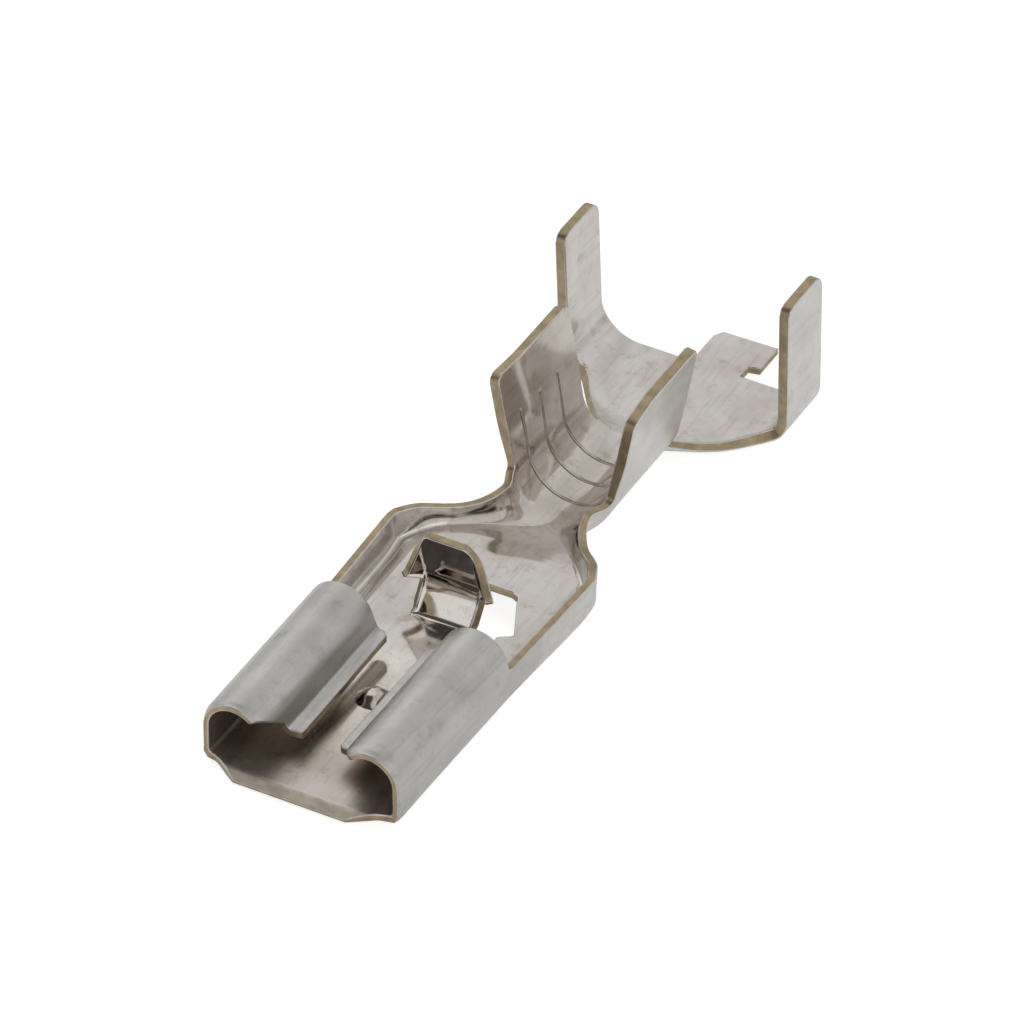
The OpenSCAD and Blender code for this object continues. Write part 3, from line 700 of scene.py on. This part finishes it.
def tin_material(name, dark, light, rough, stain, painted_light=None, wear=None):
    """Tin: faint cloudy stain, fine drawing lines along the strip, and small brownish smudges; with a ramp of
    places, also painted light and shade along the strip.
    """
    material, tree, shader, coord = new_metal(name)
    cloud = noise(tree, coord, 650.0, 5.0, 0.62)
    stretch = add_node(tree, "ShaderNodeMapping", Scale=DRAWN_SCALE)
    tree.links.new(coord, stretch.inputs["Vector"])
    lines = noise(tree, stretch.outputs["Vector"], 1.0, 3.0, 0.6)
    drawn = ramp(tree, lines, [(0.30, (0.80, 0.79, 0.78)), (0.48, (1, 1, 1))])
    color = combine(tree, 0.6, ramp(tree, cloud, [(0.32, dark), (0.62, light)]), drawn, "MULTIPLY")
    spots = ramp(tree, noise(tree, coord, 1500.0, 4.0, 0.7), [(0.56, 0.0), (0.70, stain)])
    color = combine(tree, spots, color, SMUDGE)
    gloss = ramp(tree, lines, [(0.3, rough[0]), (0.7, rough[1])])
    if painted_light:
        # painted light and shade: the tin's colour is darkened or lightened, and warmed, by place along the
        # strip
        place = place_along(tree, coord)
        tint = ramp(tree, place, [(s, (c, c * w, c * w * w)) for s, c, w in painted_light])
        color = combine(tree, 1.0, color, tint, "MULTIPLY")
        total = add_node(tree, "ShaderNodeMath", operation="ADD")
        tree.links.new(gloss, total.inputs[0])
        tree.links.new(ramp(tree, place, wear), total.inputs[1])
        gloss = total.outputs[0]
    tree.links.new(color, shader.inputs["Base Color"])
    tree.links.new(gloss, shader.inputs["Roughness"])
    bump = add_node(tree, "ShaderNodeBump", Strength=0.05, Distance=0.00002)
    tree.links.new(cloud, bump.inputs["Height"])
    tree.links.new(bump.outputs["Normal"], shader.inputs["Normal"])
    return material


def edge_material(name, color, rough):
    """Metal with a fine grain: the cut edges, and the painted shade at the bottom of the grooves."""
    material, tree, shader, coord = new_metal(name)
    shader.inputs["Roughness"].default_value = rough
    dark = tuple(c * 0.72 for c in color)
    tint = ramp(tree, noise(tree, coord, 2600.0, 3.0), [(0.35, dark), (0.65, color)])
    tree.links.new(tint, shader.inputs["Base Color"])
    return material


def strip_materials():
    """The strip's materials in the order of their slots."""
    return [tin_material("tin_inside", (0.58, 0.55, 0.52), (0.69, 0.665, 0.64), (0.07, 0.12), 0.5,
                         INSIDE_PAINTED_LIGHT, INSIDE_WEAR),
            edge_material("sheared_edge", (0.56, 0.50, 0.41), 0.36),
            edge_material("bare_brass", (0.44, 0.35, 0.22), 0.40),
            tin_material("tin_outside", (0.58, 0.57, 0.553), (0.68, 0.672, 0.655), (0.28, 0.36), 0.3,
                         OUTSIDE_PAINTED_LIGHT, OUTSIDE_WEAR),
            # the tang's tin, brighter and pinker than the rest: a painted highlight
            tin_material("tin_painted_bright", (0.80, 0.755, 0.71), (0.86, 0.815, 0.77), (0.05, 0.08), 0.3),
            # the groove bottoms in dark brown: painted shade
            edge_material("groove", (0.30, 0.26, 0.21), 0.45)]


def lit_surface(tree, grey, glow, strength):
    """A diffuse surface that also gives off light."""
    surface = add_node(tree, "ShaderNodeBsdfDiffuse", Color=(grey, grey, grey, 1))
    light = add_node(tree, "ShaderNodeEmission", Color=glow, Strength=strength)
    both = add_node(tree, "ShaderNodeAddShader")
    tree.links.new(surface.outputs[0], both.inputs[0])
    tree.links.new(light.outputs[0], both.inputs[1])
    return both.outputs[0]


def floor_material():
    """White to the camera apart from a light contact shadow, and a plain grey in the tin."""
    material = bpy.data.materials.new("ground")
    material.use_nodes = True
    tree = material.node_tree
    tree.nodes.remove(tree.nodes["Principled BSDF"])
    path = add_node(tree, "ShaderNodeLightPath")
    pick = add_node(tree, "ShaderNodeMixShader")
    tree.links.new(path.outputs["Is Camera Ray"], pick.inputs[0])
    tree.links.new(lit_surface(tree, 0.8, (1, 1, 0.98, 1), 0.3), pick.inputs[1])
    tree.links.new(lit_surface(tree, 0.62, (1, 1, 1, 1), 0.74), pick.inputs[2])
    tree.links.new(pick.outputs[0], tree.nodes["Material Output"].inputs["Surface"])
    return material


# ---- scene ----

FLOOR_HALF = 1.5
# radiance of the surroundings by height of direction
SKY = [(0.0, (0.60, 0.60, 0.59)), (0.35, (0.78, 0.775, 0.77)),
       (0.62, (0.80, 0.795, 0.79)), (0.95, (0.62, 0.615, 0.61))]
OPENING_AT, OPENING_COLOR = (-0.36, -0.50, 0.79), (0.07, 0.065, 0.06, 1)
OPENING_OUTER, OPENING_INNER = 0.86, 0.92
WHITE = (1, 1, 1, 1)
# the photograph's view in the strip's own frame, in millimetres
CAMERA_AZ, CAMERA_EL, CAMERA_DIST = math.radians(28.73), math.radians(38.45), 350.0
CAMERA_TARGET = Vector((-0.932, 15.905, 0.0))
LENS, SENSOR = 369.4, 36.0


def make_terminal():
    verts, normals, polys, slots = strip_mesh()
    rest = rest_transform()
    mesh = bpy.data.meshes.new("terminal_strip")
    mesh.from_pydata(verts.tolist(), [], polys)
    for material in strip_materials():
        mesh.materials.append(material)
    mesh.polygons.foreach_set("material_index", slots)
    mesh.polygons.foreach_set("use_smooth", [True] * len(polys))
    mesh.transform(Matrix.Scale(MM, 4) @ rest)
    mesh.normals_split_custom_set_from_vertices((normals @ np.array(rest.to_3x3()).T).tolist())
    obj = bpy.data.objects.new("terminal_strip", mesh)
    bpy.context.collection.objects.link(obj)
    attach(obj, "root")
    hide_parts("terminal")


def make_floor():
    mesh = bpy.data.meshes.new("ground")
    s = FLOOR_HALF
    mesh.from_pydata([(-s, -s, 0), (s, -s, 0), (s, s, 0), (-s, s, 0)], [], [(0, 1, 2, 3)])
    mesh.materials.append(floor_material())
    obj = bpy.data.objects.new("ground", mesh)
    bpy.context.collection.objects.link(obj)


def make_world():
    """A soft sky for the tin to reflect, with a small dark opening overhead; white to the camera."""
    world = bpy.data.worlds.new("studio")
    world.use_nodes = True
    tree = world.node_tree
    background = tree.nodes["Background"]
    background.inputs["Strength"].default_value = 1.0
    direction = add_node(tree, "ShaderNodeTexCoord").outputs["Generated"]
    split = add_node(tree, "ShaderNodeSeparateXYZ")
    tree.links.new(direction, split.inputs[0])
    sky = ramp(tree, split.outputs["Z"], SKY)
    toward = add_node(tree, "ShaderNodeVectorMath", operation="DOT_PRODUCT")
    tree.links.new(direction, toward.inputs[0])
    toward.inputs[1].default_value = OPENING_AT
    near = add_node(tree, "ShaderNodeMapRange", interpolation_type="SMOOTHSTEP")
    near.inputs["From Min"].default_value = OPENING_OUTER
    near.inputs["From Max"].default_value = OPENING_INNER
    tree.links.new(toward.outputs["Value"], near.inputs["Value"])
    reflected = combine(tree, near.outputs[0], sky, OPENING_COLOR)
    path = add_node(tree, "ShaderNodeLightPath")
    color = combine(tree, path.outputs["Is Camera Ray"], reflected, WHITE)
    tree.links.new(color, background.inputs["Color"])
    bpy.context.scene.world = world


def area_light(name, at, size, power, color=(1, 1, 1)):
    """A rectangular light that faces the object."""
    data = bpy.data.lights.new(name, "AREA")
    data.shape = "RECTANGLE"
    data.size, data.size_y = size
    data.energy = power
    data.color = color
    obj = bpy.data.objects.new(name, data)
    bpy.context.collection.objects.link(obj)
    obj.location = at
    obj.rotation_euler = (-Vector(at)).to_track_quat("-Z", "Y").to_euler()


def make_lights():
    area_light("key", (-0.12, 0.06, 0.20), (0.20, 0.20), 0.035)
    area_light("fill", (0.16, -0.10, 0.14), (0.14, 0.10), 0.015, (1.0, 0.98, 0.96))


def make_camera():
    """The photograph's view, tipped with the strip to rest."""
    az, el = CAMERA_AZ, CAMERA_EL
    back = Vector((math.sin(az) * math.cos(el), -math.cos(az) * math.cos(el), math.sin(el)))
    look = back.to_track_quat("Z", "Y").to_matrix().to_4x4()
    pose = rest_transform() @ Matrix.Translation(CAMERA_TARGET + back * CAMERA_DIST) @ look
    pose.translation = pose.translation * MM
    cam = bpy.data.cameras.new("camera")
    cam.lens, cam.sensor_width = LENS, SENSOR
    cam.clip_start, cam.clip_end = 0.01, 20.0
    obj = bpy.data.objects.new("camera", cam)
    bpy.context.collection.objects.link(obj)
    obj.matrix_world = pose
    bpy.context.scene.camera = obj


make_terminal()
make_floor()
make_world()
make_lights()
make_camera()
bpy.context.scene.view_settings.view_transform = "Standard"
